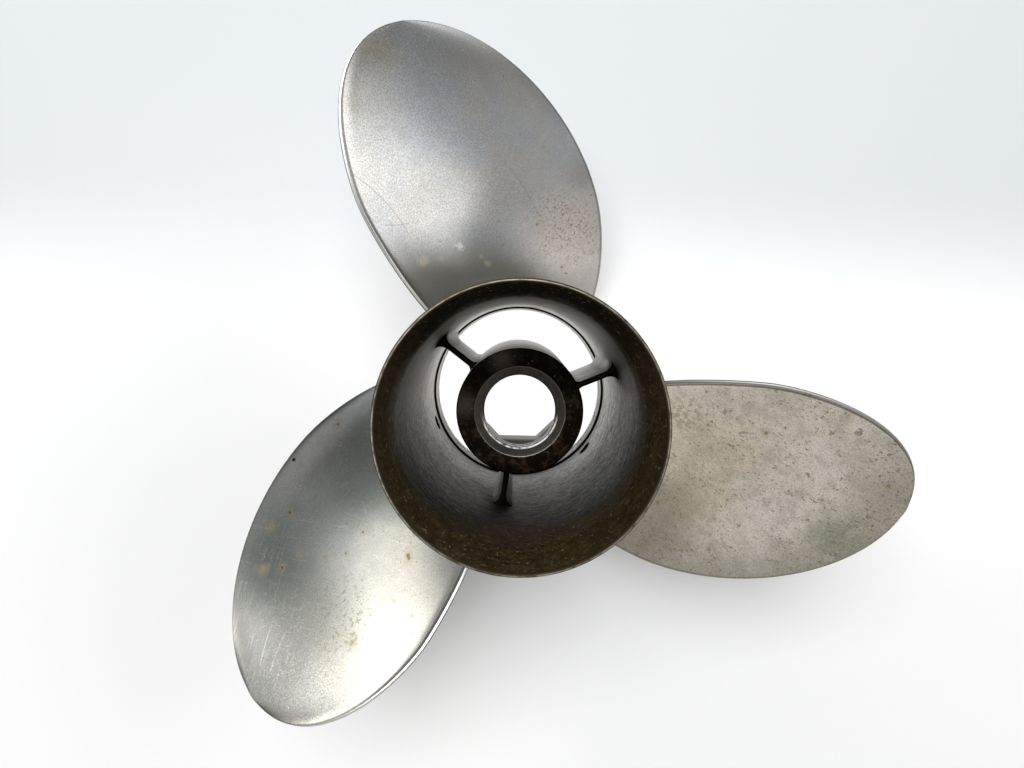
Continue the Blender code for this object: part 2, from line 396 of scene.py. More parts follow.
def blade_section(share):
    """Radius, helix angle, mid angle, chord, thickness and fillet at a share of the span."""
    radius = BLADE_ROOT + (TIP_RADIUS - BLADE_ROOT) * share
    reach = (1 - BLADE_WIDEST) if share > BLADE_WIDEST else BLADE_ROOT_SPREAD
    away = abs(share - BLADE_WIDEST) / reach
    half = BLADE_HALF_WIDTH * math.sqrt(max(0.0, 1 - away ** BLADE_FULLNESS))
    skew = SKEW_AT_ROOT + (SKEW_AT_TIP - SKEW_AT_ROOT) * share ** SKEW_BEND
    helix = math.atan2(PITCH, math.tau * radius)
    thickness = ROOT_THICKNESS + (TIP_THICKNESS - ROOT_THICKNESS) * share ** THINNING_BEND
    rise = min(1.0, (radius - BLADE_ROOT) / FILLET_HEIGHT)
    flare_out = FILLET_FLARE * (1 - math.sqrt(1 - (1 - rise) ** 2))
    return radius, helix, math.radians(skew), 2 * half / math.cos(helix), thickness, flare_out


def blade_point(share, along, level, beyond=0.0):
    """A point of the blade's skin.

    along runs from the trailing edge, 0, to the leading edge, 1. level runs from the forward
    face, -1, to the aft face, 1, and beyond moves the point outwards past an edge.
    """
    radius, helix, middle, chord, thickness, flare_out = blade_section(share)
    across = (along - 0.5) * chord + beyond
    fullness = 1 - abs(2 * along - 1) ** SECTION_FULLNESS
    portion = FACE_SHARE if level > 0 else 1 - FACE_SHARE
    edge = LEADING_THICKNESS + (TRAILING_THICKNESS - LEADING_THICKNESS) * (1 - along) ** 3
    depth = edge / 2 + thickness * portion * fullness + flare_out
    curl = max(0.0, 1 - along * chord / CUP_WIDTH) ** 2 * min(1.0, 4 * share * (1 - share))
    offset = level * depth + CUP_DEPTH * curl
    turned = middle + (across * math.cos(helix) + offset * math.sin(helix)) / radius
    out = radius - RAKE_RADIUS
    height = BLADE_HEIGHT + RAKE * out - RAKE_EASE * out ** 2 - PITCH * middle / math.tau
    height += -across * math.sin(helix) + offset * math.cos(helix)
    return around(radius, math.degrees(turned), height)


CHORD_STEPS = 44
EDGE_STEPS = 6
EDGE_LEFT_AT_TIP = 0.25
face_stops = [(1 - math.cos(math.pi * i / CHORD_STEPS)) / 2 for i in range(CHORD_STEPS + 1)]
# level, how far out and mark of each point of the ground strip
land_profile = (
    (-0.95, 0.45, -0.10), (-0.70, 0.85, -0.10), (-0.30, 1.00, -0.095), (0.15, 0.98, -0.085),
    (0.55, 0.80, -0.065), (0.80, 0.52, -0.045), (0.94, 0.20, -0.020),
)


def blade_ring(share, shut=False):
    """One section, with a round leading edge and a ground strip along the trailing edge.

    Each point comes with its mark. A shut ring has both faces on the line between them.
    """
    small = min(1.0, (1 - share) * 30 + EDGE_LEFT_AT_TIP)
    nose = LEADING_THICKNESS / 2 * small
    land = LAND_WIDTH * small
    points = [(along, 1, 0, along) for along in face_stops]
    for i in range(1, EDGE_STEPS):
        angle = math.pi * i / EDGE_STEPS
        points.append((1, math.cos(angle), nose * math.sin(angle), 1.0 + 0.02 * i))
    points += [(along, -1, 0, along) for along in reversed(face_stops)]
    points += [(0, level, -out * land, mark) for level, out, mark in land_profile]
    if shut:
        points = [(along, 0, 0, mark) for along, _, _, mark in points]
    return [(blade_point(share, *place), mark) for *place, mark in points]


# %% [markdown]
# One blade is lofted, and the other two are turned copies of it, each with its own mesh. The
# sections lie closest together at the tip, where the outline turns fastest. The loft merges
# points, which changes their order, so each mark is found again by its point's place.

# %% Loft one blade and copy it
STATIONS = 72
STATION_EASE = 1.15
TIP_SHARE = 0.9996
shares = [
    min(math.sin(math.pi / 2 * i / STATIONS) ** STATION_EASE, TIP_SHARE)
    for i in range(STATIONS + 1)
]
sections = [blade_ring(share) for share in shares]
sections = [blade_ring(0, shut=True), *sections, blade_ring(TIP_SHARE, shut=True)]
shares = [0, *shares, TIP_SHARE]
first_blade = loft(
    "blade_1_skin", [[point for point, _ in ring] for ring in sections], capped=False
)
along_marks = first_blade.data.attributes.new("along", "FLOAT", "POINT")
span_marks = first_blade.data.attributes.new("span", "FLOAT", "POINT")
marks = {}
for share, ring in zip(shares, sections):
    for point, along in ring:
        marks[tuple(round(value, 6) for value in point)] = (along, share)
found = 0
for index, vertex in enumerate(first_blade.data.vertices):
    along, share = marks.get(tuple(round(value, 6) for value in vertex.co), (0.5, 0.5))
    found += (along, share) != (0.5, 0.5)
    along_marks.data[index].value = along
    span_marks.data[index].value = share
print("marked", found, "of", len(first_blade.data.vertices), "points")
settle(first_blade, angle=60)

blades = [first_blade]
for number in range(1, BLADES):
    take_up(first_blade)
    bpy.ops.object.duplicate()
    copy = bpy.context.object
    copy.name = f"blade_{number + 1}_skin"
    copy.rotation_euler[2] = -math.radians(360 / BLADES * number)
    bpy.ops.object.transform_apply(location=True, rotation=True, scale=True)
    blades.append(copy)
print("blades:", [blade.name for blade in blades])

# %% [markdown]
# Finishes are built from nodes. Long node sums are hard to read, so a socket is wrapped in a
# small class, and plain sums in Python then add the Math nodes. Every other node comes from
# one method of the bench, which holds the node tree.

# %% Sums of sockets
class Reading:
    """A number that changes over the surface."""

    def __init__(self, bench, socket):
        self.bench = bench
        self.socket = socket

    def sum_with(self, operation, *terms):
        node = self.bench.add("ShaderNodeMath", {"operation": operation}, dict(enumerate(terms)))
        return Reading(self.bench, node.outputs[0])

    def __add__(self, other):
        return self.sum_with("ADD", self, other)

    def __sub__(self, other):
        return self.sum_with("SUBTRACT", self, other)

    def __mul__(self, other):
        return self.sum_with("MULTIPLY", self, other)

    def __truediv__(self, other):
        return self.sum_with("DIVIDE", self, other)

    def __pow__(self, other):
        return self.sum_with("POWER", self, other)

    def __rsub__(self, other):
        return self.sum_with("SUBTRACT", other, self)

    __radd__ = __add__
    __rmul__ = __mul__

    def at_least(self, other):
        return self.sum_with("MAXIMUM", self, other)

    def size(self):
        return self.sum_with("ABSOLUTE", self)

    def between(self, low, high):
        """0 at low, 1 at high and a smooth ramp between; low may be the larger."""
        node = self.bench.add(
            "ShaderNodeMapRange",
            {"interpolation_type": "SMOOTHSTEP"},
            {"Value": self, "From Min": low, "From Max": high},
        )
        return Reading(self.bench, node.outputs[0])

    def near(self, level, reach):
        """1 at a level, falling to 0 at a reach on either side of it."""
        return (self - level).size().between(reach, reach * 0.4)


# %% [markdown]
# The bench holds one node tree, of a material or of the world. Adding a node takes its type,
# its settings, and what goes into its sockets, and feeding a socket works the same way for a
# link, a colour and a number.

# %% A bench that adds nodes to a tree
class Bench:
    """A node tree, and the tools that add to it."""

    def __init__(self, tree):
        self.tree = tree

    def add(self, kind, settings=None, inputs=None):
        node = self.tree.nodes.new(kind)
        for key, value in (settings or {}).items():
            setattr(node, key, value)
        for key, value in (inputs or {}).items():
            self.feed(node.inputs[key], value)
        return node

    def feed(self, socket, value):
        if isinstance(value, Reading):
            value = value.socket
        if isinstance(value, bpy.types.NodeSocket):
            self.tree.links.new(value, socket)
        elif socket.type == "RGBA" and len(value) == 3:
            socket.default_value = (*value, 1.0)
        else:
            socket.default_value = value

    def split(self, vector):
        parts = self.add("ShaderNodeSeparateXYZ", inputs={0: vector}).outputs
        return [Reading(self, part) for part in parts]

    def vector(self, operation, first, second):
        """Vector Math that gives a number."""
        node = self.add("ShaderNodeVectorMath", {"operation": operation}, {0: first, 1: second})
        return Reading(self, node.outputs["Value"])

    def blend(self, share, first, second):
        """One colour over another."""
        node = self.add("ShaderNodeMix", {"data_type": "RGBA", "clamp_factor": True})
        self.feed(node.inputs[0], share)
        self.feed(node.inputs[6], first)
        self.feed(node.inputs[7], second)
        return node.outputs[2]


# %% [markdown]
# A finish keeps three things while it is being built up: the colour, the roughness and a
# fine relief. Each stain is laid over what is there already, like coats of paint. All places
# are read from the object's own coordinates, so the finish stays put when the part moves.

# %% A finish is a bench with a material
class Finish(Bench):
    """A material that is built up coat by coat."""

    def __init__(self, name, colour=(0.5, 0.5, 0.5), rough=0.3, metallic=1.0):
        self.material = bpy.data.materials.new(name)
        self.material.use_nodes = True
        super().__init__(self.material.node_tree)
        self.shader = self.tree.nodes["Principled BSDF"]
        self.shader.inputs["Metallic"].default_value = metallic
        self.place = self.add("ShaderNodeTexCoord").outputs["Object"]
        self.x, self.y, self.z = self.split(self.place)
        self.flat = self.moved(scale=(1, 1, 0))
        self.radius = (self.x * self.x + self.y * self.y) ** 0.5
        self.colour = colour
        self.rough = self.z * 0 + rough
        self.relief = self.z * 0

    def mark(self, name):
        """An attribute that the mesh carries."""
        node = self.add("ShaderNodeAttribute", {"attribute_name": name})
        return Reading(self, node.outputs["Fac"])

    def moved(self, scale=(1, 1, 1), turn=(0, 0, 0), shift=(0, 0, 0), kind="POINT"):
        node = self.add("ShaderNodeMapping", {"vector_type": kind}, {
            "Vector": self.place, "Rotation": turn, "Scale": scale, "Location": shift,
        })
        return node.outputs[0]

    def grain(self, scale, detail=3.0, rough=0.5, place=None):
        """Noise from 0 to 1."""
        node = self.add("ShaderNodeTexNoise", inputs={
            "Vector": place or self.place, "Scale": scale, "Detail": detail, "Roughness": rough,
        })
        return Reading(self, node.outputs[0])

    def specks(self, scale, level, place=None):
        """Small ragged specks. The higher the level, from 0.5 to 0.8, the fewer there are."""
        return self.grain(scale, 2.0, 0.55, place).between(level, level + 0.045)

    def along_lines(self, length, width, turned):
        """Coordinates stretched along lines of that length and width, at an angle."""
        size = (length / 1000, width / 1000, length / 1000)
        return self.moved(size, (0, 0, math.radians(turned)), kind="TEXTURE")

    def brushed(self, length, width, turned, level):
        """Straight fine lines, turned in the plane seen from aft, in millimetres and degrees."""
        lines = self.grain(1, 2, 0.5, self.along_lines(length, width, turned))
        return lines.between(level, level + 0.07)

    def patch(self, x, y, radius, edge, ragged=None, spread=3.0):
        """A spot seen from aft at x, y, in millimetres, with an edge that wide."""
        near = self.vector("DISTANCE", self.flat, (x / 1000, y / 1000, 0))
        if ragged is not None:
            near = near + (ragged - 0.5) * (spread * radius / 1000)
        return near.between((radius + edge) / 1000, max(0.0, radius - edge) / 1000)

    def scratch(self, x, y, angle, length, bow=0.0, width=0.25):
        """A fine curved line through x, y, in millimetres and degrees."""
        along, across, _ = self.split(self.moved(
            turn=(0, 0, math.radians(angle)), shift=(x / 1000, y / 1000, 0), kind="TEXTURE",
        ))
        off = (across + along * along * bow).size()
        line = off.between(width / 1000, width / 3000)
        return line * along.size().between(length / 2000, length / 2600)

    def coat(self, mask, colour, rough=0.0, sunk=0.0):
        """Lays a colour where the mask is, makes it rougher and sinks it."""
        self.colour = self.blend(mask, self.colour, colour)
        if rough:
            self.rough = self.rough + mask * rough
        if sunk:
            self.relief = self.relief - mask * sunk

    def coats(self, *layers):
        """Lays several coats, each given as the arguments of coat."""
        for layer in layers:
            self.coat(*layer)

    def shades(self, *rows):
        """Soft cloudy patches: x, y, radius, edge, strength, colour and roughness of each."""
        for x, y, radius, edge, strength, colour, rough in rows:
            self.coat(self.patch(x, y, radius, edge, self.cloud) * strength, colour, rough)

    def over(self, colour, *stains):
        """A colour with stains blended over it, one after the other."""
        for mask, stain in stains:
            colour = self.blend(mask, colour, stain)
        return colour

    def bake_in(self, depth, strength):
        """Feeds the shader. The relief becomes bumps of that depth in metres."""
        bump = self.add("ShaderNodeBump", inputs={
            "Strength": strength, "Distance": depth, "Height": self.relief,
        })
        self.feed(self.shader.inputs["Base Color"], self.colour)
        self.feed(self.shader.inputs["Roughness"], self.rough)
        self.feed(self.shader.inputs["Normal"], bump.outputs[0])
        print(f"{self.material.name}: {len(self.tree.nodes)} nodes")

    def put_on(self, piece, slot):
        piece.data.materials.append(self.material)


# %% [markdown]
# The blades share one recipe. Polished stainless steel that has been in sand and salt water
# has a fine, even grain, a few crossing scratches, and ragged pits. On top of that each blade
# gets its own stains, painted highlights and painted shade. The root is darkened with painted
# shade, and the trailing edge has a bright ground strip between two dark lines. A blade's marks
# run from 0 to 1 between its edges, the ground strip has marks below 0, and the round leading
# edge has marks above 1.

# %% Recipe for blade steel
BLADE_BUMPS = {"depth": 0.00008, "strength": 0.5}
BRUSHED_LINES = ((-8, 0.64), (38, 0.66), (74, 0.65), (-50, 0.66))  # angle and sparseness


def blade_steel(name, cold, warm, rough):
    """Steel that is cold in some places and warm in others."""
    finish = Finish(name, cold, rough)
    finish.along = finish.mark("along")
    finish.span = finish.mark("span")
    finish.cloud = finish.grain(14, 4, 0.6)
    finish.mottle = finish.grain(130, 5, 0.68)
    finish.ragged = finish.grain(420, 3, 0.6)
    finish.coat(finish.cloud.between(0.38, 0.62), warm)
    return finish


def wear(finish, worn, grain, root, dirt, land):
    """Grain and scratches over the stains, then painted shade at the root, and the edges.

    worn, from 0 to 1, says how much of the polish is gone, grain how strong the fine grain
    is and root how strong the painted shade at the root is. dirt is the colour of the dull
    clouds and land the colour of the ground strip along the trailing edge.
    """
    fine = finish.grain(1500, 2, 0.9)
    finish.coats(
        (finish.mottle.between(0.42, 0.64) * (0.10 + 0.32 * worn), dirt, 0.04),
        (fine.between(0.46, 0.60) * grain * 0.46, (0.20, 0.19, 0.17), 0.03, 0.02),
        (fine.between(0.44, 0.30) * grain * 0.38, (0.95, 0.94, 0.91)),
    )
    for turned, level in BRUSHED_LINES:
        finish.coat(finish.brushed(14, 0.7, turned, level) * 0.13, (0.86, 0.86, 0.85), 0, 0.1)
    few = finish.grain(45, 3, 0.6).between(0.40, 0.62)
    dashes = finish.specks(1, 0.68 - 0.07 * worn, finish.along_lines(1.9, 1.1, -35))
    near_root = finish.span + (finish.cloud - 0.5) * 0.06
    near_root = near_root + finish.along.between(0.35, 0.80) * 0.14
    near_root = near_root - finish.along.between(0.25, 0.05) * 0.07
    finish.coats(
        (dashes * few * 0.6, (0.14, 0.10, 0.06), 0.1, 0.6),
        (finish.specks(300, 0.74 - 0.02 * worn) * 0.55, (0.15, 0.11, 0.065), 0.1, 0.8),
        # painted shade at the root, next to the barrel
        (near_root.between(0.36, 0.10) * root, (0.115, 0.11, 0.095), 0.04),
        (finish.along.near(0.006, 0.008) * 0.75, (0.07, 0.065, 0.055)),
        (finish.along.between(-0.004, -0.014), land, 0.12),
        (finish.along.between(-0.075, -0.092), (0.16, 0.15, 0.13), 0.1),
        (finish.along.near(0.993, 0.008) * 0.5, (0.12, 0.115, 0.10)),
        (finish.along.between(1.004, 1.012) * 0.8, (0.74, 0.73, 0.70)),
    )


def rust_spots(finish, stain, rust, *spots):
    """Faint round stains, each with a small ragged core that is as dark as its last number."""
    for x, y, radius, core in spots:
        halo = finish.patch(x, y, radius * 0.9, radius * 1.1, finish.ragged, 2.5)
        finish.coat(halo * 0.42, stain, 0.08)
        inner = finish.patch(x, y, radius * 0.42, 0.4, finish.ragged, 3)
        finish.coat(inner * core, rust, 0.12, 0.4)


def scratches(finish, colour, width, sunk, *rows):
    """Fine curved lines, each with its place, angle, length, bow and strength."""
    for *course, strength in rows:
        finish.coat(finish.scratch(*course, width) * strength, colour, 0, sunk)


# %% [markdown]
# The first blade, at the top, kept most of its polish. Its trailing flank carries a painted
# highlight and its tip painted shade, and salt water has pitted the part near the leading edge.
# The pits are specks inside one soft patch, because they come in a swarm and not one by one.
# The larger stains are placed as they lie on the real blade.

# %% Finish of the first blade
satin = blade_steel("satin_blade_steel", (0.52, 0.545, 0.58), (0.60, 0.58, 0.55), 0.22)
highlit_flank = satin.span.near(0.72, 0.30) * satin.along.between(0.42, 0.08)
shaded_tip = (satin.span + (satin.cloud - 0.5) * 0.2).between(0.78, 0.98)
pitted = satin.patch(26, 92, 21, 17, satin.cloud)
pits = satin.specks(1, 0.575, satin.along_lines(1.5, 0.9, 35))
by_edge = satin.along.between(0.86, 0.97) * satin.span.between(0.62, 0.80)
satin.coats(
    # painted highlight on the trailing flank
    (highlit_flank * 0.62, (0.88, 0.85, 0.78)),
    # painted shade over the tip
    (shaded_tip * 0.52, (0.24, 0.24, 0.225), 0.04),
    (satin.patch(-66, 159, 7, 6, satin.mottle, 2) * 0.6, (0.27, 0.23, 0.15), 0.08),
    (satin.patch(-75, 134, 3, 4, satin.mottle, 2) * 0.3, (0.42, 0.37, 0.24), 0.06),
    (pitted * 0.6, (0.86, 0.74, 0.64), 0.08),
    (satin.patch(-9, 93, 12, 10, satin.cloud) * 0.3, (0.74, 0.74, 0.72), 0.02),
    (pitted * pits * 0.85, (0.21, 0.135, 0.08), 0.1, 0.8),
    (pitted * satin.specks(950, 0.60) * 0.6, (0.30, 0.20, 0.13), 0.1),
    (satin.patch(31, 120, 8, 8, satin.cloud) * 0.35, (0.22, 0.20, 0.17), 0.05),
    (by_edge * 0.25, (0.20, 0.20, 0.19), 0.06),
)
livelier = satin.along.between(0.72, 0.40) * 0.5 + 0.42
wear(satin, 0.0, livelier, root=1.0, dirt=(0.24, 0.235, 0.22), land=(0.86, 0.86, 0.84))
rust_spots(
    satin, (0.45, 0.40, 0.25), (0.25, 0.17, 0.08),
    (-47, 70, 1.9, 0.2), (-39, 72, 0.9, 0.5), (-21, 75, 0.9, 0.6), (-18, 72, 1.3, 0.3),
    (-31, 77, 0.6, 0.5), (-2, 76, 0.9, 0.5), (7, 94, 1.3, 0.9), (22, 74, 1.0, 0.7),
    (25, 71, 0.8, 0.9), (0, 83, 0.8, 0.3), (-13, 93, 0.5, 0.7), (-40, 80, 0.6, 0.7),
    (12, 84, 0.7, 0.6), (16, 90, 0.6, 0.8), (30, 78, 0.7, 0.6), (9, 70, 0.8, 0.4),
)
scuff = satin.patch(-31, 79, 1.4, 1.2, satin.ragged, 8)
satin.coat(scuff * 0.4, (0.88, 0.88, 0.86), 0.1)
scratches(
    satin, (0.14, 0.13, 0.12), 0.22, 0.3,
    (-62, 94, -47, 36, 9, 0.55), (-58, 85, 12, 11, -14, 0.5), (2, 107, -52, 34, 3, 0.35),
)
satin.bake_in(**BLADE_BUMPS)

# %% [markdown]
# The second blade, at the right, has lost its polish. It is matt and tan, with olive clouds and
# painted shade towards the tip, painted shade along the leading edge and dark specks all over.
# It could share the first blade's finish with more dirt on it, but its steel is lighter and
# rougher from the start, so it gets its own colours.

# %% Finish of the second blade
weathered = blade_steel("weathered_blade_steel", (0.88, 0.78, 0.63), (0.92, 0.84, 0.72), 0.34)
weathered.shades(
    (92, -32, 20, 16, 0.45, (0.74, 0.60, 0.40), 0.04),
    (166, -38, 11, 10, 0.45, (0.42, 0.40, 0.31), 0),
    (150, -56, 11, 9, 0.75, (0.27, 0.295, 0.185), 0.05),
)
lead_shade = (weathered.along + (weathered.cloud - 0.5) * 0.3).between(0.68, 1.0)
shaded_tip = (weathered.span + (weathered.cloud - 0.5) * 0.3).between(0.74, 0.96)
weathered.coats(
    # painted shade along the leading edge
    (lead_shade * 0.62, (0.28, 0.27, 0.20), 0.05),
    # painted shade over the tip
    (shaded_tip * 0.42, (0.33, 0.31, 0.24)),
    (weathered.patch(124, -46, 13, 10, weathered.cloud) * 0.35, (0.88, 0.85, 0.78)),
    (weathered.mottle.between(0.46, 0.36) * 0.25, (0.92, 0.87, 0.77)),
    (weathered.grain(48, 5, 0.7).between(0.50, 0.62) * 0.35, (0.50, 0.45, 0.34), 0.03),
    (weathered.patch(66, -68, 24, 15, weathered.cloud) * 0.85, (0.34, 0.29, 0.21), 0.04),
    (weathered.specks(240, 0.65) * 0.7, (0.28, 0.21, 0.12), 0.08, 0.6),
    (weathered.specks(520, 0.66) * 0.6, (0.22, 0.16, 0.09), 0.08, 0.6),
)
by_rim = weathered.patch(80, 0, 8, 7, weathered.mottle)
weathered.coat(by_rim * weathered.specks(320, 0.50) * 0.6, (0.30, 0.27, 0.20), 0.1, 0.5)
scratches(
    weathered, (0.33, 0.28, 0.20), 0.5, 0,
    (104, -74, -62, 14, 0, 0.4), (108, -70, -60, 9, 0, 0.4), (86, -74, -35, 12, 0, 0.4),
)
wear(weathered, 1.0, 0.85, root=0.10, dirt=(0.50, 0.45, 0.35), land=(0.32, 0.31, 0.285))
rust_spots(
    weathered, (0.42, 0.34, 0.18), (0.24, 0.18, 0.08),
    (115, -6, 1.8, 0.6), (102, 0, 0.9, 0.5), (109, -7, 0.4, 0.6), (134, -4, 0.6, 0.6),
    (89, 1, 0.6, 0.6), (167, -27, 1.6, 0.6), (84, 2, 0.5, 0.6), (106, -44, 0.8, 0.6),
    (93, -35, 0.6, 0.6), (122, -30, 0.5, 0.6),
)
weathered.bake_in(**BLADE_BUMPS)

# %% [markdown]
# The third blade, at the lower left, carries a painted highlight along its trailing half and
# greenish grey painted shade along the other, with rust spots and a nick in its leading edge.
# The painted highlight and shade follow large soft patches, because no edge separates the
# bright half from the dark one.

# %% Finish of the third blade
sheen_and_rust = blade_steel("sheen_and_rust_blade_steel", (0.40, 0.425, 0.405), (0.46, 0.455, 0.43), 0.22)
# painted highlight on the trailing half
highlit_flank = sheen_and_rust.span.between(0.36, 0.58) * sheen_and_rust.along.between(0.42, 0.10)
sheen_and_rust.coat(highlit_flank * sheen_and_rust.span.between(1.12, 0.76) * 0.85, (0.94, 0.92, 0.85))
# the two light patches are painted highlight, the four dark ones painted shade
sheen_and_rust.shades(
    (-51, -106, 24, 20, 0.4, (0.90, 0.89, 0.85), 0),
    (-87, -74, 11, 12, 0.45, (0.78, 0.78, 0.75), 0),
    (-70, -24, 24, 20, 0.8, (0.22, 0.24, 0.22), 0.02),
    (-124, -118, 12, 12, 0.45, (0.22, 0.24, 0.225), 0.02),
    (-107, -121, 11, 11, 0.45, (0.24, 0.25, 0.23), 0.02),
    (-122, -80, 19, 16, 0.9, (0.165, 0.185, 0.172), 0.02),
)
stained = sheen_and_rust.patch(-88, -104, 17, 12, sheen_and_rust.cloud)
lower = sheen_and_rust.span.between(0.55, 0.85) * sheen_and_rust.along.between(0.15, 0.5)
sheen_and_rust.coats(
    (sheen_and_rust.patch(-86, -104, 12, 10, sheen_and_rust.mottle) * 0.35, (0.34, 0.32, 0.26), 0.05),
    (stained * sheen_and_rust.specks(560, 0.57) * 0.6, (0.19, 0.18, 0.13), 0.1, 0.2),
    (sheen_and_rust.brushed(20, 0.8, 82, 0.60) * lower * 0.22, (0.85, 0.85, 0.82)),
)
scratches(
    sheen_and_rust, (0.82, 0.82, 0.80), 0.3, 0,
    (-118, -112, 80, 22, 4, 0.4), (-112, -116, 74, 18, 3, 0.4),
)
# painted highlight in a band along the leading edge
by_edge = sheen_and_rust.along.between(0.80, 0.95) * sheen_and_rust.along.between(1.00, 0.955)
by_edge = by_edge * sheen_and_rust.span.between(0.16, 0.36) * sheen_and_rust.span.between(0.68, 0.40)
sheen_and_rust.coat(by_edge, (0.97, 0.97, 0.95))
livelier = sheen_and_rust.span.between(0.60, 0.85) * sheen_and_rust.along.between(0.75, 0.40) * 0.6 + 0.55
livelier = livelier * (1 - sheen_and_rust.patch(-128, -103, 15, 9) * 0.7)
wear(sheen_and_rust, 0.12, livelier, root=0.45, dirt=(0.25, 0.25, 0.23), land=(0.86, 0.86, 0.84))
rust_spots(
    sheen_and_rust, (0.36, 0.28, 0.14), (0.13, 0.062, 0.018),
    (-117, -58, 1.7, 1.0), (-125, -65, 2.2, 0.1), (-109, -76, 1.3, 0.2), (-116, -82, 2.0, 1.0),
    (-125, -83, 2.3, 0.3), (-95, -77, 1.4, 0.4), (-85, -75, 0.9, 0.6), (-78, -66, 0.9, 0.9),
    (-89, -56, 1.4, 0.2), (-86, -48, 0.8, 0.5), (-101, -17, 1.8, 0.7), (-53, -74, 2.2, 0.6),
    (-80, -37, 1.2, 0.2), (-90, -43, 0.6, 0.6), (-122, -93, 0.6, 0.7), (-114, -97, 0.6, 0.7),
    (-76, -109, 2.2, 0.3), (-48, -96, 0.6, 0.4), (-94, -79, 0.6, 0.6), (-105, -82, 0.5, 0.5),
)
nick = sheen_and_rust.patch(-120.2, -34, 1.1, 0.4)
sheen_and_rust.coat(nick, (0.02, 0.018, 0.015), 0.3)
sheen_and_rust.bake_in(**BLADE_BUMPS)

# %% [markdown]
# The barrel's outside is plain satin steel with faint turning marks. The flare at the top is
# burnt brown, and its edge is worn to a hair of bare metal, painted brighter on the lower side
# as a painted highlight. Inside and outside meet on that edge, so one function paints it for
# both finishes.

# %% Finish of the barrel's outside
BROWN = (0.060, 0.046, 0.027)


def worn_rim(finish):
    """Burnt brown over the rim, with one thin bare line on top that is a painted highlight on the
    lower side, and a nick.
    """
    broken = finish.grain(160, 4, 0.7).between(0.35, 0.60) * 0.65 + 0.10
    on_top = finish.z.between(LENGTH - 0.0008, LENGTH - 0.0003)
    bare = finish.radius.near(RIM_RADIUS - RIM_WALL * 0.45, 0.00042) * on_top * broken
    finish.coats(
        (finish.z.between(LENGTH - 0.0024, LENGTH - 0.0010), BROWN, 0.1),
        # painted highlight: the bare line is brighter towards the lower side
        (bare * (finish.y.between(0.04, -0.02) * 0.6 + 0.4), (0.46, 0.43, 0.37)),
        (finish.patch(40.5, 44.5, 1.0, 0.5), (0.012, 0.010, 0.008), 0.2, 4.0),
    )


outer_wall = Finish("satin_barrel_steel", (0.50, 0.49, 0.47), 0.26)
fine = outer_wall.grain(1100, 3, 0.65)
turning = outer_wall.grain(1, 3, 0.6, outer_wall.moved((12, 12, 1300)))
outer_wall.coats(
    (outer_wall.grain(22, 4, 0.6).between(0.4, 0.62), (0.44, 0.42, 0.38), 0.1),
    (fine.between(0.40, 0.62) * 0.35, (0.30, 0.29, 0.27), 0.05, 0.2),
    (turning.between(0.55, 0.70) * 0.25, (0.66, 0.65, 0.63), -0.04, 0.3),
    (outer_wall.specks(380, 0.68) * 0.6, (0.16, 0.13, 0.09), 0.1, 0.6),
)
worn_rim(outer_wall)
outer_wall.bake_in(depth=0.00006, strength=0.5)

# %% [markdown]
# Inside the barrel, turning marks run round the wall, and painted shade darkens the wall from
# grey to nearly black towards the rim, away from the light at the forward end. The marks are
# noise squeezed along the axis, so each speck of it becomes a thin streak round the bore. The
# wall is darker in the wake of the ribs, so that place is measured from the nearest rib.

# %% Finish of the barrel's inside
PAINTED_LIGHT = (0.58, 0.56, 0.50)
PAINTED_SHADE = (0.012, 0.011, 0.009)

inner_wall = Finish("exhaust_stained_steel", (0.43, 0.42, 0.38), 0.33)
cloud = inner_wall.grain(26, 4, 0.62)
mottle = inner_wall.grain(150, 5, 0.68)
fine = inner_wall.grain(700, 2, 0.9)
height = inner_wall.z + (cloud - 0.5) * 0.05
below = inner_wall.y.between(-0.034, -0.055)
inner_wall.coats(
    # painted shade, darker towards the aft end
    (height.between(0.00, 0.125), (0.085, 0.084, 0.074), 0.08),
    (cloud.between(0.50, 0.70) * 0.5, (0.075, 0.068, 0.052), 0.05),
    (below * height.between(0.095, 0.130) * 0.6, (0.055, 0.050, 0.042), 0.05),
)
for fineness in (230, 620):
    rings = inner_wall.grain(1, 3, 0.65, inner_wall.moved((20, 20, fineness)))
    inner_wall.coat(rings.between(0.50, 0.62) * 0.7, (0.06, 0.056, 0.047), 0.05, 0.6)
lower_left = (inner_wall.x + inner_wall.y).between(-0.010, -0.055)
left_side = inner_wall.x.between(-0.004, -0.030)
streaks = inner_wall.grain(1, 2, 0.6, inner_wall.moved((110, 110, 620)))
hairs = inner_wall.grain(1, 2, 0.7, inner_wall.moved((260, 260, 1700)))
up_wall = inner_wall.y
inner_wall.coats(
    (lower_left * 0.55, (0.23, 0.195, 0.145), 0.04),
    (streaks.between(0.54, 0.61) * 0.85, (0.02, 0.018, 0.015), 0.1, 0.5),
    (streaks.between(0.38, 0.31) * 0.4, (0.46, 0.45, 0.42), -0.05),
    (inner_wall.specks(420, 0.60) * 0.85, (0.03, 0.027, 0.020), 0.1, 0.8),
    (hairs.between(0.50, 0.57) * 0.85, (0.03, 0.028, 0.024), 0.05, 0.6),
    (hairs.between(0.47, 0.40) * 0.55, (0.66, 0.64, 0.59)),
    (fine.between(0.42, 0.30) * 0.35, (0.60, 0.58, 0.53)),
    (fine.between(0.46, 0.58) * 0.6, (0.06, 0.056, 0.047), 0.05, 0.6),
    # painted light over the upper wall and painted shade over the lower wall
    (up_wall.between(-0.016, 0.012) * (left_side * 0.10 + 0.30), PAINTED_LIGHT),
    (up_wall.between(-0.034, -0.004) * left_side * 0.20, PAINTED_LIGHT),
    (up_wall.between(0.026, 0.044) * 0.45, (0.62, 0.60, 0.55)),
    (up_wall.between(-0.006, -0.044) * 0.50, PAINTED_SHADE),
    (up_wall.between(-0.038, -0.052) * 0.40, PAINTED_SHADE),
    (lower_left * up_wall.between(-0.010, -0.030) * 0.32, (0.030, 0.018, 0.006)),
)

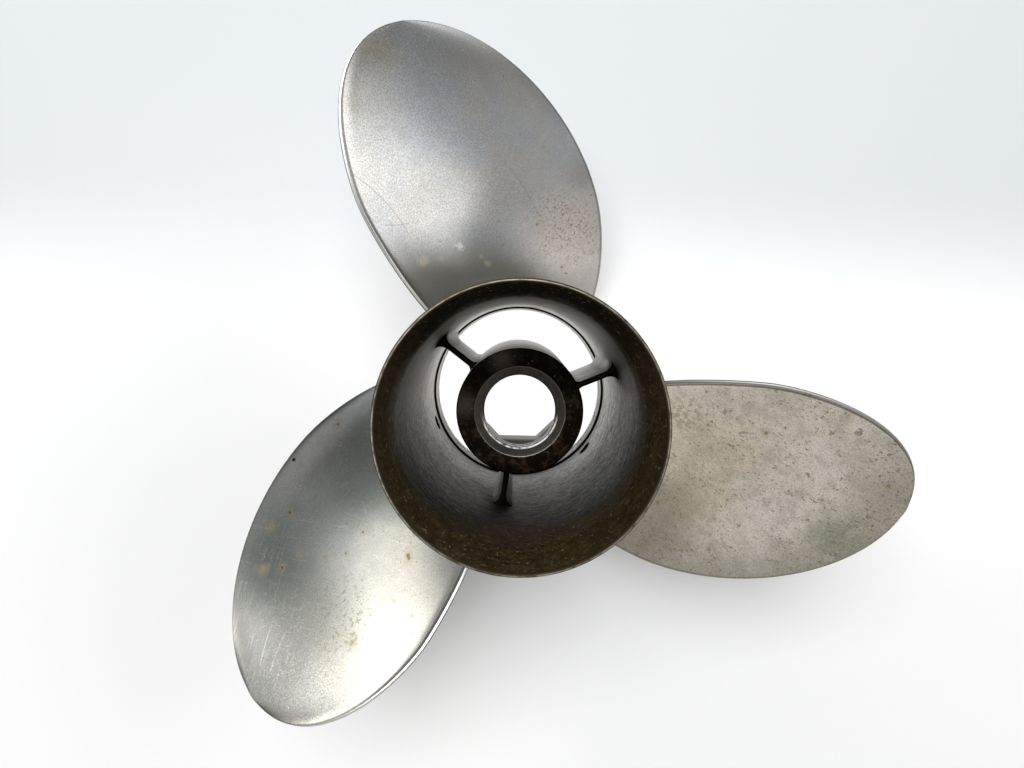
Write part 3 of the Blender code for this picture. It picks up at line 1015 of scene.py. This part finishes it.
sideways = inner_wall.x.sum_with("ARCTAN2", inner_wall.x, inner_wall.y) - math.radians(RIB_ANGLE)
off_rib = (sideways * 1.5).sum_with("SINE", sideways * 1.5).size() * (BARREL_BORE / 1.5)
off_rib = off_rib + (mottle - 0.5) * 0.012
darker_by_rib = off_rib.between(0.0085, 0.0010)
darker_by_rib = darker_by_rib * inner_wall.z.between(RIB_TOP - 0.022, RIB_TOP - 0.002)
darker_by_rib = darker_by_rib * inner_wall.z.between(RIB_TOP + 0.030, RIB_TOP + 0.002)
trail = off_rib.between(0.0120, 0.0020)
trail = trail * inner_wall.z.between(RIB_TOP - 0.026, RIB_TOP - 0.006)
trail = trail * inner_wall.z.between(RIB_TOP + 0.060, RIB_TOP + 0.020)
trail = trail * inner_wall.x.between(-0.030, -0.015)
inner_wall.coats(
    (darker_by_rib * 0.95, (0.012, 0.011, 0.010), 0.15),
    (trail * 0.55, (0.012, 0.011, 0.010), 0.1),
)

# %% [markdown]
# Towards the aft end the wall turns into a thick burnt band with a ragged lower edge and
# painted shade over its upper side. The edge is a height that the noise and a few wide slopes
# push up or down. The black line in the step of the forward lip is thinner, and is painted shade
# where the step faces away from the light. The vents are black inside.

# %% Soot, the black line and the rim
SOOT_STARTS = 0.150
SOOT_CLOSES = 0.166

left = inner_wall.x.between(-0.012, -0.055) * up_wall.between(0.042, 0.024)
lean = below * 0.016 - left * 0.017 - up_wall.between(0.028, 0.048) * 0.014
soot = (inner_wall.z + lean + (mottle - 0.5) * 0.016).between(SOOT_STARTS, SOOT_CLOSES)
soot_and_painted_light = inner_wall.over(
    inner_wall.blend(mottle.between(0.35, 0.70), (0.080, 0.058, 0.024), (0.152, 0.110, 0.050)),
    # painted shade on the upper side of the band
    (up_wall.between(0.010, 0.050) * 0.86, (0.010, 0.009, 0.006)),
    (fine.between(0.44, 0.60) * 0.6, (0.022, 0.016, 0.010)),
    (inner_wall.specks(650, 0.64) * 0.8, (0.42, 0.32, 0.20)),
    (inner_wall.specks(190, 0.68) * 0.7, (0.11, 0.035, 0.010)),
)
# painted shade: the lip's step faces away from the light
lip_line = (inner_wall.z + (mottle - 0.5) * 0.002).near(LIP_LENGTH + 0.0006, 0.0030)
vent = inner_wall.radius.between(BARREL_BORE + 0.0001, BARREL_BORE + 0.0005)
inner_wall.coats(
    (soot, soot_and_painted_light, 0.10, -0.2),
    (lip_line * 0.97, (0.005, 0.005, 0.005), 0.2),
    (vent * inner_wall.z.between(0.042, 0.040), (0.005, 0.005, 0.005), 0.3),
)
worn_rim(inner_wall)
inner_wall.relief = inner_wall.relief + mottle * 0.3
inner_wall.bake_in(depth=0.00010, strength=0.6)

# %% [markdown]
# Soot lies thickest on the hub's aft face, with dark red rust and a grey scuff in it, a grey
# patch of painted sheen on its left, and a darker upper half.
# The rest of the hub is turned steel. One finish covers both, because the hub is one piece,
# and the height over the forward end tells where the face is.

# %% Finish of the hub
hub_steel = Finish("sooty_hub_steel", (0.48, 0.47, 0.44), 0.34)
cloud = hub_steel.grain(70, 4, 0.6)
mottle = hub_steel.grain(260, 5, 0.68)
fine = hub_steel.grain(1300, 3, 0.7)
rings = hub_steel.grain(1, 3, 0.65, hub_steel.moved((30, 30, 500)))
low_right = hub_steel.patch(14, -20, 15, 10, cloud)
soot_and_painted_light = hub_steel.over(
    hub_steel.blend(mottle.between(0.47, 0.66), (0.004, 0.003, 0.002), (0.018, 0.013, 0.009)),
    (low_right * 0.45, (0.004, 0.003, 0.0025)),
    (low_right * mottle.between(0.52, 0.66) * 0.6, (0.045, 0.016, 0.010)),
    # painted sheen on the left of the face
    (hub_steel.patch(-27, 3, 5, 5, mottle) * 0.35, (0.052, 0.049, 0.044)),
    (hub_steel.y.between(0.000, 0.018) * 0.85, (0.0012, 0.001, 0.0008)),
    (hub_steel.patch(-9, 24, 5, 4, mottle) * 0.25, (0.045, 0.039, 0.032)),
    (hub_steel.specks(700, 0.70) * 0.5, (0.16, 0.12, 0.08)),
)
face = hub_steel.z.between(HUB_TOP - 0.0018, HUB_TOP - 0.0008)
face = face * hub_steel.radius.between(COUNTERSINK_RADIUS - 0.0002, COUNTERSINK_RADIUS + 0.0002)
hub_steel.coats(
    (rings.between(0.50, 0.66) * 0.5, (0.24, 0.22, 0.19), 0.05, 0.3),
    (fine.between(0.42, 0.62) * 0.4, (0.22, 0.21, 0.18), 0.05, 0.2),
    (face, soot_and_painted_light, 0.12),
)

# %% [markdown]
# The recess is lighter than the face round it, with painted light on its left side and
# painted shade at its bottom. The neck round the shaft's bore is worn bright at both of its
# ends, and the rings are painted on its lower side only, as painted highlights. The brighter a
# ring is, the less metallic it is made, so that it stays light even where the steel would
# mirror the dark barrel.

# %% Recess, neck and socket
recess = hub_steel.radius.between(COUNTERSINK_RADIUS, COUNTERSINK_RADIUS - 0.0003)
cone = hub_steel.over(
    hub_steel.blend(mottle.between(0.40, 0.65), (0.20, 0.185, 0.165), (0.135, 0.12, 0.105)),
    # painted light on the left of the recess, painted shade at its bottom
    (hub_steel.x.between(-0.004, -0.016) * 0.35, (0.36, 0.355, 0.34)),
    (hub_steel.y.between(-0.012, -0.019) * 0.6, (0.11, 0.102, 0.096)),
)
edge_line = hub_steel.radius.near(COUNTERSINK_RADIUS, 0.00035) * face.at_least(recess)
at_neck = hub_steel.radius.between(NECK_RADIUS + 0.0006, NECK_RADIUS)
chipped = hub_steel.z + (mottle - 0.5) * 0.0022
worn_and_lit_ring = hub_steel.radius.near(NECK_RADIUS + 0.0009, 0.0005) * recess
for end in (SHOULDER + 0.0006, COUNTERSINK_BOTTOM - 0.0005):
    worn_and_lit_ring = worn_and_lit_ring.at_least(chipped.near(end, 0.0010) * at_neck)
worn_and_lit_ring = worn_and_lit_ring.between(0.25, 0.55) * mottle.between(0.30, 0.55)
# painted highlight: the worn rings show on the lower side only
worn_and_lit_ring = worn_and_lit_ring * hub_steel.y.between(0.000, -0.006)
in_socket = hub_steel.radius.between(0.0304, 0.0300)
in_socket = in_socket * hub_steel.z.between(SHOULDER, SHOULDER - 0.0005)
facets = hub_steel.over(
    (0.40, 0.39, 0.35),
    (hub_steel.z.between(0.030, 0.043), (0.025, 0.023, 0.019)),
    (chipped.near(HUB_BOTTOM + 0.001, 0.0022), (0.6, 0.6, 0.58)),
)
hub_steel.coats(
    (recess * hub_steel.z.between(SHOULDER, COUNTERSINK_BOTTOM - 0.001), cone, 0.1),
    (edge_line * mottle.between(0.45, 0.7) * 0.3, (0.30, 0.28, 0.25)),
    (hub_steel.radius.between(NECK_RADIUS + 0.0006, NECK_RADIUS + 0.0003), (0.035, 0.033, 0.030)),
    (in_socket, facets, 0.4),
    (worn_and_lit_ring, (0.90, 0.90, 0.88)),
)
hub_steel.feed(hub_steel.shader.inputs["Metallic"], 1 - worn_and_lit_ring)
hub_steel.relief = hub_steel.relief + mottle
hub_steel.bake_in(depth=0.00012, strength=0.7)

# %% [markdown]
# The ribs were never polished, so they are matt cast steel, black with soot on their aft edges
# and towards the barrel. The lowest rib has painted shade on one side, painted light where its
# fillet begins and painted shadow at its foot. Its side is found by turning the coordinates
# until one runs across the rib.

# %% Finish of the ribs
rib_steel = Finish("cast_rib_steel", (0.46, 0.45, 0.42), 0.44)
mottle = rib_steel.grain(260, 5, 0.68)
low_rib = math.radians(RIB_ANGLE + 360 / BLADES)
aside = rib_steel.x * math.cos(low_rib) - rib_steel.y * math.sin(low_rib)
shaded = aside.between(0.0002, -0.0006) * rib_steel.y.between(-0.020, -0.026)
foot = rib_steel.radius.between(0.043, 0.050)
edge = (rib_steel.z + (mottle - 0.5) * 0.003).between(RIB_TOP - 0.0040, RIB_TOP - 0.0016)
corner = (rib_steel.radius + (mottle - 0.5) * 0.01).between(0.045, 0.053)
corner = corner * rib_steel.z.between(0.082, 0.100)
rib_steel.coats(
    (rib_steel.grain(60, 4, 0.6).between(0.4, 0.6), (0.38, 0.365, 0.335), 0.05),
    (mottle.between(0.45, 0.65) * 0.45, (0.20, 0.185, 0.16), 0.08, 0.3),
    (rib_steel.specks(420, 0.66) * 0.7, (0.07, 0.06, 0.05), 0.1, 0.4),
    # painted shade on one side of the lowest rib
    (shaded * 0.9, (0.050, 0.047, 0.042), 0.3),
    # painted light on its fillet
    (shaded * aside.between(-0.0016, -0.0026) * 0.9, (0.70, 0.68, 0.63)),
    (foot * 0.45, (0.12, 0.11, 0.10), 0.1),
    # painted shadow at the foot of the lowest rib
    (foot * rib_steel.y.between(-0.043, -0.051) * 0.6, (0.05, 0.046, 0.04), 0.1),
    (edge.at_least(corner * 0.9), (0.008, 0.007, 0.006), 0.15),
)
rib_steel.relief = rib_steel.relief + mottle * 0.6
rib_steel.bake_in(depth=0.00010, strength=0.6)

# %% [markdown]
# The barrel carries two finishes: faces that look at the shaft's axis are its inside, and the
# walls of the vents go with them. Picking faces by their normal is quicker than marking them
# by hand, and it still holds when a measure changes.

# %% Put the finishes on
VENTS_BETWEEN = (0.02, 0.04)  # heights that hold all three vents

for piece, finish in zip(blades, (satin, weathered, sheen_and_rust)):
    finish.put_on(piece, "blade_steel")
outer_wall.put_on(shell, "barrel_steel")
shell.data.materials.append(inner_wall.material)
for face in shell.data.polygons:
    outward = Vector((face.center.x, face.center.y, 0)).normalized()
    facing = face.normal.dot(outward)
    in_vent = abs(facing) < 0.5 and VENTS_BETWEEN[0] < face.center.z < VENTS_BETWEEN[1]
    face.material_index = int(facing < -0.15 or in_vent)
hub_steel.put_on(hub, "hub_steel")
for rib in ribs:
    rib_steel.put_on(rib, "rib_steel")
print("inside faces of the barrel:", sum(face.material_index for face in shell.data.polygons))

# %% [markdown]
# Each piece now takes the place of its solid, which is hidden, and moves with the propeller's
# one body.

# %% Tie the pieces to the body and hide the solids
for piece in (shell, hub, *ribs, *blades):
    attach(piece, "root")
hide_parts("outer_barrel", "diffuser_ring")
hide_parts("inner_hub")
for number, (rib, blade) in enumerate(zip(ribs, blades), start=1):
    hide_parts(f"rib_{number}")
    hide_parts(f"blade_{number}")
print("tied:", 2 + len(ribs) + len(blades), "pieces")

# %% [markdown]
# The propeller stands on a pale table, painted a little darker towards the back as painted
# shade, with a broad painted shadow on its left. A white panel under the barrel's open end
# sends light up through it, as the bright table does behind the real one. A lamp from below
# could do it too, but the panel is also what the eye sees through the openings.

# %% The table and the panel under the barrel
TABLE_SIZE = 6.0
TABLE_GAP = 0.0002  # between the table and the barrel's forward end
PANEL_RADIUS = 0.0505
PANEL_HEIGHT = 0.0003
PANEL_GLOW = 0.95

start_fresh()
bpy.ops.mesh.primitive_plane_add(size=TABLE_SIZE, location=(0, 0, -TABLE_GAP))
table = bpy.context.object
table.name = "table"
paper = Finish("pale_table", metallic=0.0)
paper.colour = paper.over(
    (0.93, 0.93, 0.93),
    # painted shade towards the back
    (paper.y.between(0.025, 0.140), (0.65, 0.677, 0.70)),
    # a broad painted shadow on the left
    (paper.patch(-200, -40, 150, 130) * 0.5, (0.80, 0.81, 0.82)),
)
paper.rough = paper.rough + 0.5
paper.relief = paper.grain(600, 3, 0.6)
paper.bake_in(depth=0.00003, strength=0.1)
table.data.materials.append(paper.material)

start_fresh()
bpy.ops.mesh.primitive_circle_add(
    vertices=64, radius=PANEL_RADIUS, fill_type="NGON", location=(0, 0, PANEL_HEIGHT)
)
panel = bpy.context.object
panel.name = "light_panel"
glow = Finish("glowing_panel", metallic=0.0)
glow.shader.inputs["Base Color"].default_value = (0.9, 0.9, 0.9, 1)
glow.shader.inputs["Emission Color"].default_value = (1.0, 1.0, 1.0, 1)
glow.shader.inputs["Emission Strength"].default_value = PANEL_GLOW
panel.data.materials.append(glow.material)

# %% [markdown]
# One large soft lamp hangs over the table. Its size matters more than its power, because a
# small lamp would throw hard shadows and show as a hot spot on the steel.

# %% The lamp over the table
LAMP_PLACE = (-0.25, 0.73, 2.06)
LAMP_SIZE = 1.3
LAMP_POWER = 45

start_fresh()
bpy.ops.object.light_add(type="AREA", location=LAMP_PLACE)
lamp = bpy.context.object
lamp.name = "overhead"
lamp.data.shape = "SQUARE"
lamp.data.size = LAMP_SIZE
lamp.data.energy = LAMP_POWER
lamp.rotation_euler = (-Vector(LAMP_PLACE)).to_track_quat("-Z", "Y").to_euler()
lamp.visible_camera = False

# %% [markdown]
# Polished steel shows what is round it more than its own colour. So the rest of the light
# comes from a room, which is part of the world: three pale walls and a dim ceiling. The walls
# make the bright flanks of the blades. Real walls of mesh would work as well, but a formula
# in the world is easier to move and casts no shadow.

# %% A pale wall of the room
WALL_BLUR = 0.06  # half the width of a wall's soft edge

world = bpy.data.worlds.new("soft_room")
bpy.context.scene.world = world
world.use_nodes = True
room = Bench(world.node_tree)
look = room.add("ShaderNodeTexCoord").outputs["Generated"]


def heading(azimuth, elevation):
    """A unit vector: azimuth from +X towards +Y, then elevation, in degrees."""
    turn_by, rise = math.radians(azimuth), math.radians(elevation)
    level = math.cos(rise)
    return Vector((level * math.cos(turn_by), level * math.sin(turn_by), math.sin(rise)))


def pale_wall(azimuth, elevation, width, height, roll):
    """1 inside a tilted rectangle of the room as seen from the table, 0 outside."""
    middle = heading(azimuth, elevation)
    sideways = heading(azimuth + 90, 0)
    upright = middle.cross(sideways)
    across = sideways * math.cos(roll) + upright * math.sin(roll)
    along = upright * math.cos(roll) - sideways * math.sin(roll)
    ahead = room.vector("DOT_PRODUCT", look, middle).at_least(0.02)
    mask = ahead.between(0.05, 0.15)
    for axis, extent in ((across, width), (along, height)):
        away = (room.vector("DOT_PRODUCT", look, axis) / ahead).size()
        mask = mask * away.between(extent / 2 + WALL_BLUR, extent / 2 - WALL_BLUR)
    return mask


# %% [markdown]
# The room is dim overhead, brighter lower down and dark on one side, and the walls are laid
# over that. Matt things are lit from the window side only, which keeps the table's shadows
# short. Steel doesn't notice, because it mirrors the room instead of gathering its light.

# %% Light the room
CEILING_LIGHT = 0.10
LOWER_LIGHT = 0.464  # what the room has more below the ceiling
DARK_SIDE = 43  # azimuth in degrees
DARKENING = 0.764
WINDOW_GAIN = 1.7  # for matt things only
COOL_WHITE = (0.97, 0.985, 1.0)
WARM_WHITE = (1.0, 0.975, 0.90)

_, to_back, up = room.split(look)
light = CEILING_LIGHT + up.between(0.667, 0.51) * LOWER_LIGHT
shade = room.vector("DOT_PRODUCT", look, heading(DARK_SIDE, 0)).between(0.20, 0.85)
light = light * (1 - shade * DARKENING)
left_wall = pale_wall(131, 22.6, 0.96, 0.40, 0.763)
right_wall = pale_wall(26, 10.4, 1.20, 1.215, -0.912)
front_wall = pale_wall(-115, 40, 1.3, 0.6, 0)
for wall, level in ((front_wall, 0.60), (right_wall, 1.60), (left_wall, 2.10)):
    light = light * (1 - wall) + wall * level
window_side = to_back.between(-0.15, 0.35) * WINDOW_GAIN * (1 + right_wall * 0.25)
for_diffuse = Reading(room, room.add("ShaderNodeLightPath").outputs["Is Diffuse Ray"])
light = light * (1 - for_diffuse + for_diffuse * window_side)
background = world.node_tree.nodes["Background"]
room.feed(background.inputs["Color"], room.blend(left_wall, COOL_WHITE, WARM_WHITE))
room.feed(background.inputs["Strength"], light)
print("room:", len(world.node_tree.nodes), "nodes")

# %% [markdown]
# The camera stands half a metre over the table and looks almost straight down the shaft. Its
# place, turn and lens were solved from the outlines of the blades, the rim and the openings.

# %% The camera, where the photograph was taken from
CAMERA_PLACE = (-0.0037, 0.0422, 0.5037)
CAMERA_TURN = (-4.427, 0.164, 1.445)  # degrees
LENS = 27.75  # millimetres, on a sensor 36 wide

start_fresh()
bpy.ops.object.camera_add(
    location=CAMERA_PLACE, rotation=tuple(math.radians(value) for value in CAMERA_TURN)
)
camera = bpy.context.object
camera.data.lens = LENS
camera.data.sensor_width = 36.0
camera.data.clip_start = 0.01
bpy.context.scene.camera = camera
bpy.context.scene.view_settings.view_transform = "Standard"
print("camera:", camera.data.lens, "mm at", tuple(camera.location))
